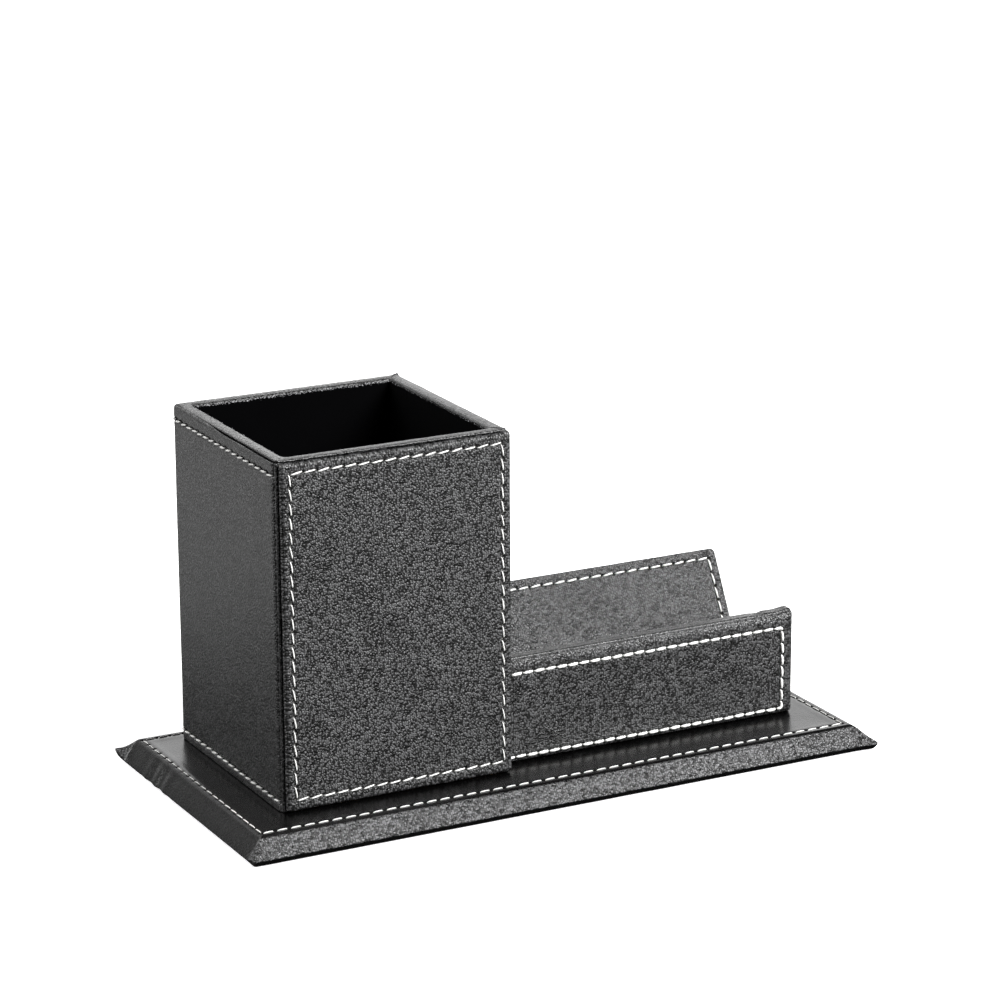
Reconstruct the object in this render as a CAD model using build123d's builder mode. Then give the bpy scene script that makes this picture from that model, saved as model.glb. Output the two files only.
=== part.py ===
from build123d import *
from math import atan2, cos, degrees, hypot, radians, sin
import os

# Desk organiser: a square cup and a low leaning slot stand side by side on a bevelled plate.
# Every board is covered in black leather with white stitching, velvet lines the cup, and felt
# covers the underside. All of it is glued, so nothing moves.
# Millimetres. X runs along the plate, Y to the back and Z up, from the middle of the underside.

# Plan of the plate: margins round the cup and the slot, which set its length and width
margin_left = 16.2
margin_right = 15.1
margin_front = 15.3
margin_back = 9.2
cup_width = 71.6
cup_depth = 72.5
slot_length = 97.1

# Plate
base_board_thick = 5.5
bevel_run = 3.3
foot_height = 1.2
foot_radius = 0.9
deck_radius = 1.4
base_corner = 1.6
hem_width = 14.0
felt_thick = 0.5
felt_inset = 3.0
felt_corner = 2.0
felt_gap = 0.3

# Coverings
leather_thick = 0.6
cover_thick = 0.5
wrap_thick = 0.7
lining_thick = 0.8
stiffener_thick = 1.2

# Cup
cup_height = 102.0
wall_thick = 2.5
floor_thick = 2.5
turn_in = 12.0
rim_radius = 0.8
cover_corner = 0.6
wrap_corner = 1.8
wrap_drop = 0.4
lining_drop = 1.5

# Stitched panels on the fronts of the cup and the lip
panel_side_inset = 0.6
panel_top_drop = 0.3
panel_foot_gap = 0.5
panel_end_gap = 0.3
panel_corner = 1.3
roll_radius = 1.1
wrap_roll = 0.5

# Lip in front of the slot, and the backrest behind it
lip_setback = 6.0
lip_height = 31.6
lip_board_thick = 3.0
lip_corner = 1.6
slot_depth = 18.0
lean = radians(28)
backrest_rise = 40.0
backrest_board_thick = 3.0
backrest_corner = 1.6

# Stitching: thread, length of a stitch on each kind of seam, and the seams' places
thread_width = 0.6
thread_rise = 0.35
stitch_gap = 0.8
stitch_slant = 6.0
panel_pitch = 4.2
wrap_pitch = 4.0
lip_pitch = 3.2
lip_thread_width = 0.85
base_seam_inset = 2.3
panel_seam_left = 3.0
panel_seam_right = 2.0
panel_seam_top = 3.0
panel_seam_foot = 3.4
wrap_seam_top = 4.4
wrap_seam_foot = 3.0
lip_seam_side = 2.3
lip_seam_top = 3.8
lip_seam_foot = 1.7
backrest_seam_inset = 3.0

# Places worked out from the sizes above
base_length = margin_left + cup_width + slot_length + margin_right
base_width = margin_front + cup_depth + margin_back
board_foot = felt_thick + leather_thick
board_top = board_foot + base_board_thick
deck = board_top + leather_thick

cup_left = margin_left - base_length / 2
cup_right = cup_left + cup_width
cup_front = margin_front - base_width / 2
cup_back = cup_front + cup_depth
cup_top = deck + cup_height
panel_thick = stiffener_thick + leather_thick


def inset(area, by):
    """The area (left, front, right, back) drawn in by the same amount on all four sides."""
    left, front, right, back = area
    return left + by, front + by, right - by, back - by


# Nested outlines of the cup, from the covered core to the clear hollow inside
core = (cup_left + wrap_thick, cup_front + panel_thick, cup_right - wrap_thick, cup_back - wrap_thick)
box = inset(core, cover_thick)
well = inset(box, wall_thick)
mouth = inset(well, cover_thick)
hollow = inset(mouth, lining_thick)
wall_top = cup_top - cover_thick
floor_lining_foot = deck + floor_thick
hollow_floor = floor_lining_foot + lining_thick
lining_top = cup_top - lining_drop

lip_left = cup_right
lip_right = lip_left + slot_length
lip_front = cup_front + lip_setback
lip_core_front = lip_front + panel_thick
lip_thick = lip_board_thick + 2 * cover_thick
lip_back = lip_core_front + lip_thick
lip_top = deck + lip_height

backrest_foot = lip_back + slot_depth
backrest_thick = backrest_board_thick + 2 * cover_thick
backrest_slope = backrest_rise / cos(lean)


def fill(area, mode=Mode.ADD):
    """A rectangle between two corners of the sketch in hand."""
    x0, y0, x1, y1 = area
    with Locations(((x0 + x1) / 2, (y0 + y1) / 2)):
        Rectangle(x1 - x0, y1 - y0, mode=mode)


def seam(start, end, pitch):
    """Places of the stitches along one straight seam, each slanted a little across it."""
    (x0, y0), (x1, y1) = start, end
    count = max(1, round(hypot(x1 - x0, y1 - y0) / pitch))
    heading = degrees(atan2(y1 - y0, x1 - x0)) + stitch_slant
    steps = [(i + 0.5) / count for i in range(count)]
    return [Location((x0 + (x1 - x0) * t, y0 + (y1 - y0) * t, 0), (0, 0, heading)) for t in steps]


def seam_round(area, pitch):
    """Places of the stitches of a seam that runs round a rectangle."""
    x0, y0, x1, y1 = area
    corners = [(x0, y0), (x1, y0), (x1, y1), (x0, y1)]
    return [spot for i in range(4) for spot in seam(corners[i - 1], corners[i], pitch)]


def stitches(spots, pitch, width):
    """Plan of the stitches: a bar with pointed ends at each place of the sketch in hand."""
    half = (pitch - stitch_gap) / 2
    shoulder = half - width / 2
    with Locations(*spots):
        Polygon(
            (-half, 0),
            (-shoulder, -width / 2),
            (shoulder, -width / 2),
            (half, 0),
            (shoulder, width / 2),
            (-shoulder, width / 2),
        )


# Plate: the board, upright at its foot and bevelled above, leaning in as its leather does
bevel_slope = bevel_run / (deck - felt_thick - foot_height)
bevel_angle = degrees(atan2(bevel_slope, 1))
skin_across = leather_thick * hypot(1, bevel_slope)
shoulder = felt_thick + foot_height - (skin_across - leather_thick) / bevel_slope
board_length = base_length - 2 * leather_thick
board_width = base_width - 2 * leather_thick

with BuildPart() as base_board:
    with BuildSketch(Plane.XY.offset(board_foot)):
        Rectangle(board_length, board_width)
    extrude(amount=shoulder - board_foot)
    with BuildSketch(Plane.XY.offset(shoulder)):
        Rectangle(board_length, board_width)
    extrude(amount=board_top - shoulder, taper=bevel_angle)
    fillet(edges().filter_by(Plane.XY, reverse=True), radius=base_corner - leather_thick)
base_board.part.label = "base_board"

# Plate: leather over the top, down the bevel, round the foot and in under the board as a hem
hem_area = inset((-base_length / 2, -base_width / 2, base_length / 2, base_width / 2), hem_width)

with BuildPart() as base_leather:
    with BuildSketch(Plane.XY.offset(felt_thick)):
        Rectangle(base_length, base_width)
    extrude(amount=foot_height)
    with BuildSketch(Plane.XY.offset(felt_thick + foot_height)):
        Rectangle(base_length, base_width)
    extrude(amount=deck - felt_thick - foot_height, taper=bevel_angle)
    fillet(edges().filter_by(Plane.XY, reverse=True), radius=base_corner)
    fillet(edges().group_by(Axis.Z)[-1], radius=deck_radius)
    fillet(edges().group_by(Axis.Z)[0], radius=foot_radius)
    add(base_board.part, mode=Mode.SUBTRACT)
    with BuildSketch(Plane.XY.offset(felt_thick)):
        fill(hem_area)
    extrude(amount=leather_thick, mode=Mode.SUBTRACT)
base_leather.part.label = "base_leather"

# Plate: felt glued over the hem, pressed up to the board inside it
with BuildPart() as base_felt:
    with BuildSketch():
        RectangleRounded(base_length - 2 * felt_inset, base_width - 2 * felt_inset, felt_corner)
    extrude(amount=felt_thick)
    with BuildSketch(Plane.XY.offset(felt_thick)):
        fill(inset(hem_area, felt_gap))
    extrude(amount=leather_thick)
base_felt.part.label = "base_felt"

# Plate: white seam a little inside the edge of the deck
seam_length = base_length / 2 - bevel_run - base_seam_inset
seam_width = base_width / 2 - bevel_run - base_seam_inset
with BuildPart() as base_thread:
    with BuildSketch(Plane.XY.offset(deck)):
        spots = seam_round((-seam_length, -seam_width, seam_length, seam_width), panel_pitch)
        stitches(spots, panel_pitch, thread_width)
    extrude(amount=thread_rise)
base_thread.part.label = "base_thread"

# Cup boards: the left and right walls run the full depth, the front and back walls stand
# between them, and the floor lies inside all four
with BuildPart() as cup_left_board:
    with BuildSketch(Plane.XY.offset(deck)):
        fill((box[0], box[1], well[0], box[3]))
    extrude(amount=wall_top - deck)
cup_left_board.part.label = "cup_left_board"

with BuildPart() as cup_right_board:
    with BuildSketch(Plane.XY.offset(deck)):
        fill((well[2], box[1], box[2], box[3]))
    extrude(amount=wall_top - deck)
cup_right_board.part.label = "cup_right_board"

with BuildPart() as cup_front_board:
    with BuildSketch(Plane.XY.offset(deck)):
        fill((well[0], box[1], well[2], well[1]))
    extrude(amount=wall_top - deck)
cup_front_board.part.label = "cup_front_board"

with BuildPart() as cup_back_board:
    with BuildSketch(Plane.XY.offset(deck)):
        fill((well[0], well[3], well[2], box[3]))
    extrude(amount=wall_top - deck)
cup_back_board.part.label = "cup_back_board"

with BuildPart() as cup_floor_board:
    with BuildSketch(Plane.XY.offset(deck)):
        fill(well)
    extrude(amount=floor_thick)
cup_floor_board.part.label = "cup_floor_board"

# Cup cover: thin leather round the four walls, over the rim and a little way down inside
with BuildSketch() as core_outline:
    fill(core)
    chamfer(vertices(), length=cover_corner)

with BuildPart() as cup_rim_leather:
    with BuildSketch(Plane.XY.offset(deck)):
        add(core_outline.sketch)
        fill(mouth, mode=Mode.SUBTRACT)
    extrude(amount=cup_height)
    fillet(edges().group_by(Axis.Z)[-1], radius=rim_radius)
    with BuildSketch(Plane.XY.offset(deck)):
        fill(box)
        fill(well, mode=Mode.SUBTRACT)
    extrude(amount=wall_top - deck, mode=Mode.SUBTRACT)
    with BuildSketch(Plane.XY.offset(deck)):
        fill(well)
    extrude(amount=cup_height - turn_in, mode=Mode.SUBTRACT)
cup_rim_leather.part.label = "cup_rim_leather"

# Cup wrap: one strip of leather round the left, back and right sides, its top edge folded
with BuildPart() as cup_wrap_leather:
    with BuildSketch(Plane.XY.offset(deck)):
        fill((cup_left, core[1], cup_right, cup_back))
        fillet(vertices().group_by(Axis.Y)[-1], radius=wrap_corner)
    extrude(amount=cup_height - wrap_drop)
    rolled = edges().group_by(Axis.Z)[-1] + edges().filter_by(Axis.Z).group_by(Axis.Y)[0]
    fillet(rolled, radius=wrap_roll)
    with BuildSketch(Plane.XY.offset(deck)):
        add(core_outline.sketch)
    extrude(amount=cup_height, mode=Mode.SUBTRACT)
cup_wrap_leather.part.label = "cup_wrap_leather"

# Cup wrap: two white seams round the three sides. Where the lip and the backrest are glued
# against the right side, its lower seam has no stitches
left_face = Plane(origin=(cup_left, 0, 0), x_dir=(0, -1, 0), z_dir=(-1, 0, 0))
back_face = Plane(origin=(0, cup_back, 0), x_dir=(-1, 0, 0), z_dir=(0, 1, 0))
right_face = Plane(origin=(cup_right, 0, 0), x_dir=(0, 1, 0), z_dir=(1, 0, 0))
top_seam = cup_top - wrap_seam_top
foot_seam = deck + wrap_seam_foot
side_start = core[1] + wrap_roll
side_end = cup_back - wrap_corner
lean_shift = wrap_seam_foot * sin(lean) / cos(lean)
backrest_clear = backrest_foot + backrest_thick / cos(lean) + 2 * lean_shift

with BuildPart() as cup_wrap_thread:
    with BuildSketch(left_face):
        for height in (top_seam, foot_seam):
            spots = seam((-side_end, height), (-side_start, height), wrap_pitch)
            stitches(spots, wrap_pitch, thread_width)
    with BuildSketch(back_face):
        for height in (top_seam, foot_seam):
            start = (-cup_right + wrap_corner, height)
            end = (-cup_left - wrap_corner, height)
            stitches(seam(start, end, wrap_pitch), wrap_pitch, thread_width)
    with BuildSketch(right_face):
        spots = seam((side_start, top_seam), (side_end, top_seam), wrap_pitch)
        between = seam((lip_back, foot_seam), (backrest_foot, foot_seam), wrap_pitch)
        behind = seam((backrest_clear, foot_seam), (side_end, foot_seam), wrap_pitch)
        stitches(spots + between + behind, wrap_pitch, thread_width)
    extrude(amount=thread_rise)
cup_wrap_thread.part.label = "cup_wrap_thread"

# Cup front panel: a stiffener with leather rolled over its edges, stitched all round
cup_panel = (
    cup_left + panel_side_inset,
    deck + panel_foot_gap,
    cup_right - panel_side_inset,
    cup_top - panel_top_drop,
)

with BuildPart() as cup_panel_stiffener:
    with BuildSketch(Plane.XZ.offset(-core[1])):
        fill(inset(cup_panel, leather_thick))
    extrude(amount=stiffener_thick)
cup_panel_stiffener.part.label = "cup_panel_stiffener"

with BuildPart() as cup_panel_leather:
    with BuildSketch(Plane.XZ.offset(-core[1])):
        fill(cup_panel)
        fillet(vertices(), radius=panel_corner)
    extrude(amount=panel_thick)
    fillet(edges().group_by(Axis.Y)[0], radius=roll_radius)
    add(cup_panel_stiffener.part, mode=Mode.SUBTRACT)
cup_panel_leather.part.label = "cup_panel_leather"

with BuildPart() as cup_panel_thread:
    with BuildSketch(Plane.XZ.offset(-cup_front)):
        seam_area = (
            cup_panel[0] + panel_seam_left,
            cup_panel[1] + panel_seam_foot,
            cup_panel[2] - panel_seam_right,
            cup_panel[3] - panel_seam_top,
        )
        stitches(seam_round(seam_area, panel_pitch), panel_pitch, thread_width)
    extrude(amount=thread_rise)
cup_panel_thread.part.label = "cup_panel_thread"

# Cup lining: velvet on stiff backing, the floor first and then the walls, each wall piece
# thinner at its top where the turned-in leather lies behind it
with BuildPart() as cup_floor_lining:
    with BuildSketch(Plane.XY.offset(floor_lining_foot)):
        fill(well)
    extrude(amount=lining_thick)
cup_floor_lining.part.label = "cup_floor_lining"

with BuildPart() as cup_left_lining:
    with BuildSketch(Plane.XY.offset(hollow_floor)):
        fill((well[0], well[1], hollow[0], well[3]))
    extrude(amount=lining_top - hollow_floor)
    add(cup_rim_leather.part, mode=Mode.SUBTRACT)
cup_left_lining.part.label = "cup_left_lining"

with BuildPart() as cup_right_lining:
    with BuildSketch(Plane.XY.offset(hollow_floor)):
        fill((hollow[2], well[1], well[2], well[3]))
    extrude(amount=lining_top - hollow_floor)
    add(cup_rim_leather.part, mode=Mode.SUBTRACT)
cup_right_lining.part.label = "cup_right_lining"

with BuildPart() as cup_front_lining:
    with BuildSketch(Plane.XY.offset(hollow_floor)):
        fill((hollow[0], well[1], hollow[2], hollow[1]))
    extrude(amount=lining_top - hollow_floor)
    add(cup_rim_leather.part, mode=Mode.SUBTRACT)
cup_front_lining.part.label = "cup_front_lining"

with BuildPart() as cup_back_lining:
    with BuildSketch(Plane.XY.offset(hollow_floor)):
        fill((hollow[0], hollow[3], hollow[2], well[3]))
    extrude(amount=lining_top - hollow_floor)
    add(cup_rim_leather.part, mode=Mode.SUBTRACT)
cup_back_lining.part.label = "cup_back_lining"

# Lip: an upright board covered on its front, back, top and free end, glued to the cup's side
with BuildPart() as lip_board:
    with BuildSketch(Plane.XZ.offset(-lip_core_front - cover_thick)):
        fill((lip_left, deck, lip_right - cover_thick, lip_top - cover_thick))
        free_corner = vertices().group_by(Axis.Y)[-1].sort_by(Axis.X)[-1]
        fillet(free_corner, radius=lip_corner - cover_thick)
    extrude(amount=-lip_board_thick)
lip_board.part.label = "lip_board"

with BuildPart() as lip_leather:
    with BuildSketch(Plane.XZ.offset(-lip_core_front)):
        fill((lip_left, deck, lip_right, lip_top))
        fillet(vertices().group_by(Axis.Y)[-1].sort_by(Axis.X)[-1], radius=lip_corner)
    extrude(amount=-lip_thick)
    outline = edges().filter_by(Axis.Y, reverse=True)
    beyond = outline.filter_by(lambda edge: edge.center().X > lip_left + lip_corner)
    free = beyond.filter_by(lambda edge: edge.center().Z > deck + lip_corner)
    fillet(free, radius=rim_radius)
    add(lip_board.part, mode=Mode.SUBTRACT)
lip_leather.part.label = "lip_leather"

# Lip front panel, made like the cup's
lip_panel = (
    lip_left + panel_end_gap,
    deck + panel_foot_gap,
    lip_right - panel_side_inset,
    lip_top - panel_top_drop,
)

with BuildPart() as lip_panel_stiffener:
    with BuildSketch(Plane.XZ.offset(-lip_core_front)):
        fill(inset(lip_panel, leather_thick))
    extrude(amount=stiffener_thick)
lip_panel_stiffener.part.label = "lip_panel_stiffener"

with BuildPart() as lip_panel_leather:
    with BuildSketch(Plane.XZ.offset(-lip_core_front)):
        fill(lip_panel)
        fillet(vertices(), radius=panel_corner)
    extrude(amount=panel_thick)
    fillet(edges().group_by(Axis.Y)[0], radius=roll_radius)
    add(lip_panel_stiffener.part, mode=Mode.SUBTRACT)
lip_panel_leather.part.label = "lip_panel_leather"

with BuildPart() as lip_panel_thread:
    with BuildSketch(Plane.XZ.offset(-lip_front)):
        seam_area = (
            lip_panel[0] + lip_seam_side,
            lip_panel[1] + lip_seam_foot,
            lip_panel[2] - lip_seam_side,
            lip_panel[3] - lip_seam_top,
        )
        stitches(seam_round(seam_area, lip_pitch), lip_pitch, lip_thread_width)
    extrude(amount=thread_rise)
lip_panel_thread.part.label = "lip_panel_thread"

# Backrest: a leaning board, cut level where it stands on the deck, covered like the lip
backrest_face = Plane(
    origin=(lip_left, backrest_foot, deck), x_dir=(1, 0, 0), z_dir=(0, -cos(lean), sin(lean))
)
level_cut = Plane.XY.offset(deck)

with BuildPart() as backrest_board:
    with BuildSketch(backrest_face.offset(-cover_thick)):
        fill((0, -backrest_thick, slot_length - cover_thick, backrest_slope - cover_thick))
        free_corner = vertices().group_by(Axis.Y)[-1].sort_by(Axis.X)[-1]
        fillet(free_corner, radius=backrest_corner - cover_thick)
    extrude(amount=-backrest_board_thick)
    split(bisect_by=level_cut, keep=Keep.TOP)
backrest_board.part.label = "backrest_board"

with BuildPart() as backrest_leather:
    with BuildSketch(backrest_face):
        fill((0, -backrest_thick, slot_length, backrest_slope))
        fillet(vertices().group_by(Axis.Y)[-1].sort_by(Axis.X)[-1], radius=backrest_corner)
    extrude(amount=-backrest_thick)
    outline = edges().filter_by(Axis((0, 0, 0), backrest_face.z_dir), reverse=True)
    beyond = outline.filter_by(lambda edge: edge.center().X > lip_left + backrest_corner)
    free = beyond.filter_by(lambda edge: edge.center().Z > deck)
    fillet(free, radius=rim_radius)
    split(bisect_by=level_cut, keep=Keep.TOP)
    add(backrest_board.part, mode=Mode.SUBTRACT)
backrest_leather.part.label = "backrest_leather"

with BuildPart() as backrest_thread:
    with BuildSketch(backrest_face):
        spots = seam_round(inset((0, 0, slot_length, backrest_slope), backrest_seam_inset), panel_pitch)
        stitches(spots, panel_pitch, thread_width)
    extrude(amount=thread_rise)
backrest_thread.part.label = "backrest_thread"

pieces = [
    base_felt,
    base_board,
    base_leather,
    base_thread,
    cup_left_board,
    cup_right_board,
    cup_front_board,
    cup_back_board,
    cup_floor_board,
    cup_rim_leather,
    cup_wrap_leather,
    cup_wrap_thread,
    cup_panel_stiffener,
    cup_panel_leather,
    cup_panel_thread,
    cup_floor_lining,
    cup_left_lining,
    cup_right_lining,
    cup_front_lining,
    cup_back_lining,
    lip_board,
    lip_leather,
    lip_panel_stiffener,
    lip_panel_leather,
    lip_panel_thread,
    backrest_board,
    backrest_leather,
    backrest_thread,
]

os.makedirs("parts", exist_ok=True)
for piece in pieces:
    export_step(piece.part, f"parts/{piece.part.label}.step")
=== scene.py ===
import math

import bmesh
import bpy
import numpy as np
from mathutils import Matrix, Vector


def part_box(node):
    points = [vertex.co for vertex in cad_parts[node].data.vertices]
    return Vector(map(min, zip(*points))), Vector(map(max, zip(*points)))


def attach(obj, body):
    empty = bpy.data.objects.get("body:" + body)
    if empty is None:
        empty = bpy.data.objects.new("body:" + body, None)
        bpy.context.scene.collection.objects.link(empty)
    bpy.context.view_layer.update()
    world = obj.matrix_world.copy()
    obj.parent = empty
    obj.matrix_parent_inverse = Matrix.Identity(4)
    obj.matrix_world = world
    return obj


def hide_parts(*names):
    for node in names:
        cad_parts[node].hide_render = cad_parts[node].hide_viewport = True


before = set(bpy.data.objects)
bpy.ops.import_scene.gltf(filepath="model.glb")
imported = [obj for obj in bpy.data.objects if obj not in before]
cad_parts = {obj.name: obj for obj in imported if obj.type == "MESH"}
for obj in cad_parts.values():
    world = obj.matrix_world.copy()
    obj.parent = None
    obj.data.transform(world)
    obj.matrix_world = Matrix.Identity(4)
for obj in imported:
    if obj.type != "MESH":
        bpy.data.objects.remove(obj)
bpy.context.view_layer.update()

# View: a long lens that looks at the object from its front left and from a little above. Its place is
# in metres and its turns are in degrees.
view_place = Vector((-0.48621, -0.94146, 0.38906))
view_azimuth = math.radians(-27.392)
view_elevation = math.radians(16.323)
view_roll = math.radians(-0.329)

lens = bpy.data.cameras.new("view")
lens.sensor_width = 36
lens.lens = 136.417
lens.clip_start = 0.05
lens.clip_end = 40
camera = bpy.data.objects.new("view", lens)
bpy.context.scene.collection.objects.link(camera)
bpy.context.scene.camera = camera
level = math.cos(view_elevation)
back = Vector((math.sin(view_azimuth) * level, -math.cos(view_azimuth) * level, math.sin(view_elevation)))
facing = back.to_track_quat("Z", "Y").to_matrix() @ Matrix.Rotation(view_roll, 3, "Z")
camera.matrix_world = Matrix.Translation(view_place) @ facing.to_4x4()

# Floor: a plain pale sheet with a faint tooth, wide enough to fill the view, that glows evenly white
# for the camera. The colour it throws back at the object is painted shade in a band round the plate's
# foot and at the plate's left, darkening what the object's foot and left side reflect, and paler behind
# that.
def add(tree, kind, inputs=(), **traits):
    """A shader node. Each input is a number, a colour or another node's output."""
    made = tree.nodes.new("ShaderNode" + kind)
    for trait, value in traits.items():
        setattr(made, trait, value)
    for key, value in dict(inputs).items():
        if isinstance(value, bpy.types.NodeSocket):
            tree.links.new(value, made.inputs[key])
        else:
            made.inputs[key].default_value = value
    return made


def calc(tree, operation, *values):
    """What a sum of values gives."""
    return add(tree, "Math", enumerate(values), operation=operation).outputs["Value"]


def ramp(tree, value, low, high, to_low=0.0, to_high=1.0, smooth=False):
    """A value's range from low to high, carried over to another range, evenly or smoothly."""
    ranges = {"Value": value, "From Min": low, "From Max": high, "To Min": to_low, "To Max": to_high}
    curve = "SMOOTHSTEP" if smooth else "LINEAR"
    return add(tree, "MapRange", ranges, interpolation_type=curve).outputs["Result"]


def mix(tree, factor, first, second, kind="RGBA"):
    """A blend of two colours, or of two numbers where kind is FLOAT."""
    inputs = {"Factor": factor, "A": first, "B": second}
    return add(tree, "Mix", inputs, data_type=kind).outputs["Result"]


def noise(tree, place, scale, detail, **more):
    """Noise of so many ripples in a unit of length."""
    inputs = {"Vector": place, "Scale": scale, "Detail": detail, **more}
    return add(tree, "TexNoise", inputs).outputs["Fac"]


def surface(name, **settings):
    """A material with the standard surface shader and its plain settings."""
    material = bpy.data.materials.new(name)
    material.use_nodes = True
    shader = material.node_tree.nodes["Principled BSDF"]
    for key, value in settings.items():
        shader.inputs[key.replace("_", " ")].default_value = value
    return material, material.node_tree, shader


floor_half = 4.0
floor_drop = 0.00005
floor_glow = 0.70
# Painted shade in the floor's bounce colour: its tone, and the middle and half width of the band round the
# plate where it lies.
painted_shade_tone = 0.01
painted_plate_shade = {"X": (0.006, 0.1005), "Y": (0.0, 0.0495)}
floor_mesh = bpy.data.meshes.new("floor")
floor_corners = [(-1, -1), (1, -1), (1, 1), (-1, 1)]
floor_points = [(x * floor_half, y * floor_half, -floor_drop) for x, y in floor_corners]
floor_mesh.from_pydata(floor_points, [], [(0, 1, 2, 3)])
floor = bpy.data.objects.new("floor", floor_mesh)
bpy.context.scene.collection.objects.link(floor)

paper, tree, shader = surface("pale_floor", Roughness=0.9, Specular_IOR_Level=0.2)
shader.inputs["Emission Color"].default_value = (1, 1, 1, 1)
place = add(tree, "TexCoord").outputs["Object"]
spot = add(tree, "SeparateXYZ", {"Vector": place}).outputs
tone = mix(tree, noise(tree, place, 60.0, 3.0), (0.90, 0.90, 0.90, 1), (0.93, 0.93, 0.93, 1))
# Painted shade: the colour thrown back at the object is made dark at the plate's left and in a band round
# its foot, standing in for shade there.
leftward = ramp(tree, spot["X"], -0.09, -0.14, smooth=True)
forward = ramp(tree, spot["Y"], 0.15, 0.03, smooth=True)
gaps = []
for axis, (middle, half_side) in painted_plate_shade.items():
    far = calc(tree, "ABSOLUTE", calc(tree, "SUBTRACT", spot[axis], middle))
    gaps.append(calc(tree, "SUBTRACT", far, half_side))
shade = ramp(tree, calc(tree, "MAXIMUM", *gaps), 0.010, 0.004)
dark = calc(tree, "MAXIMUM", calc(tree, "MULTIPLY", leftward, forward), shade)
paler = ramp(tree, leftward, 0.0, 1.0, to_low=0.18, to_high=0.48)
bounce = mix(tree, dark, paler, painted_shade_tone, "FLOAT")
bounce = add(tree, "CombineColor", dict.fromkeys(("Red", "Green", "Blue"), bounce)).outputs["Color"]
direct = add(tree, "LightPath").outputs["Is Camera Ray"]
tree.links.new(mix(tree, direct, bounce, tone), shader.inputs["Base Color"])
tree.links.new(calc(tree, "MULTIPLY", direct, floor_glow), shader.inputs["Emission Strength"])
floor_mesh.materials.append(paper)

# Light: a white backdrop low behind the object and a dim room elsewhere, with one wide soft box at the
# front right and weaker ones at the left and the back left.
backdrop_glow = 1.95
room_glow = 0.02
light_target = Vector((0, 0, 0.05))
world = bpy.data.worlds.new("surround")
bpy.context.scene.world = world
world.use_nodes = True
sky = world.node_tree
way = add(sky, "SeparateXYZ", {"Vector": add(sky, "TexCoord").outputs["Generated"]}).outputs
behind = ramp(sky, way["Y"], -0.35, 0.35, smooth=True)
lowdown = ramp(sky, way["Z"], 0.70, 0.30, smooth=True)
rightward = ramp(sky, way["X"], -0.6, 0.35, to_low=0.06, smooth=True)
backdrop = calc(sky, "MULTIPLY", calc(sky, "MULTIPLY", behind, lowdown), rightward)
glow = calc(sky, "MULTIPLY_ADD", backdrop, backdrop_glow, room_glow)
strength = mix(sky, add(sky, "LightPath").outputs["Is Camera Ray"], glow, 1.0, "FLOAT")
sky.links.new(strength, sky.nodes["Background"].inputs["Strength"])
sky.nodes["Background"].inputs["Color"].default_value = (1, 1, 1, 1)


def soft_box(name, place, size, power):
    """A square soft box that looks from its place to the object, in metres and watts."""
    box = bpy.data.lights.new(name, "AREA")
    box.size = size
    box.energy = power
    stand = bpy.data.objects.new(name, box)
    bpy.context.scene.collection.objects.link(stand)
    stand.location = place
    stand.rotation_euler = (light_target - Vector(place)).to_track_quat("-Z", "Y").to_euler()


soft_box("front_right", place=(0.66, -0.98, 0.98), size=0.80, power=56)
soft_box("left", place=(-1.15, 0.40, 0.45), size=0.8, power=10)
soft_box("back_left", place=(-1.0, 1.1, 1.3), size=0.9, power=8)
bpy.context.scene.view_settings.view_transform = "Standard"

# Boards and stiffeners: fibreboard, sawn to size and hidden by the leather, and greyboard behind
# the two stitched panels. Their shapes come from the frame.
def coat(tree, shader, tone, height, depth, strength):
    """Gives a surface its tone and its bumps, which are so deep in metres."""
    bump = add(tree, "Bump", {"Height": height, "Distance": depth, "Strength": strength})
    tree.links.new(tone, shader.inputs["Base Color"])
    tree.links.new(bump.outputs["Normal"], shader.inputs["Normal"])


def board_material(name, light, dark, fibre, depth):
    """Pressed fibres: a mottled tone and a fine rough face."""
    material, tree, shader = surface(name, Roughness=0.85, Specular_IOR_Level=0.25)
    place = add(tree, "TexCoord").outputs["Object"]
    mottle = noise(tree, place, 1 / fibre, 6.0, Roughness=0.7)
    fibres = add(tree, "TexVoronoi", {"Vector": place, "Scale": 3 / fibre}).outputs["Distance"]
    coat(tree, shader, mix(tree, mottle, dark, light), calc(tree, "ADD", mottle, fibres), depth, 0.6)
    return material


def dress(node, material):
    """Gives a node of the frame its finish."""
    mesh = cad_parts[node].data
    mesh.materials.clear()
    mesh.materials.append(material)


fibreboard = board_material(
    "fibreboard", light=(0.36, 0.25, 0.15, 1), dark=(0.20, 0.13, 0.07, 1), fibre=0.004, depth=0.00015,
)
greyboard = board_material(
    "greyboard", light=(0.30, 0.29, 0.27, 1), dark=(0.18, 0.175, 0.165, 1), fibre=0.003, depth=0.00008,
)
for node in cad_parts:
    if node.endswith("_board"):
        dress(node, fibreboard)
    elif node.endswith("_stiffener"):
        dress(node, greyboard)

# Plate leather: one sheet of black coated leather, drawn over the board and down its bevel, folded
# into a mitre at each corner and turned in underneath. Sizes from here on are in millimetres.
def span(node):
    """Lowest and highest corner of a node of the frame, in millimetres."""
    low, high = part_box(node)
    return np.array(low) * 1000, np.array(high) * 1000


def level_face(height):
    """A face that looks up: its origin and its ways across, up and out."""
    return (0, 0, height), (1, 0, 0), (0, 1, 0), (0, 0, 1)


def front_face(depth):
    """A face that looks to the front: its origin and its ways across, up and out."""
    return (0, depth, 0), (1, 0, 0), (0, 0, 1), (0, -1, 0)


def lengths_along(points):
    """How far along its line each point lies."""
    return np.append(0, np.cumsum(np.linalg.norm(np.diff(points, axis=0), axis=1)))


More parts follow.
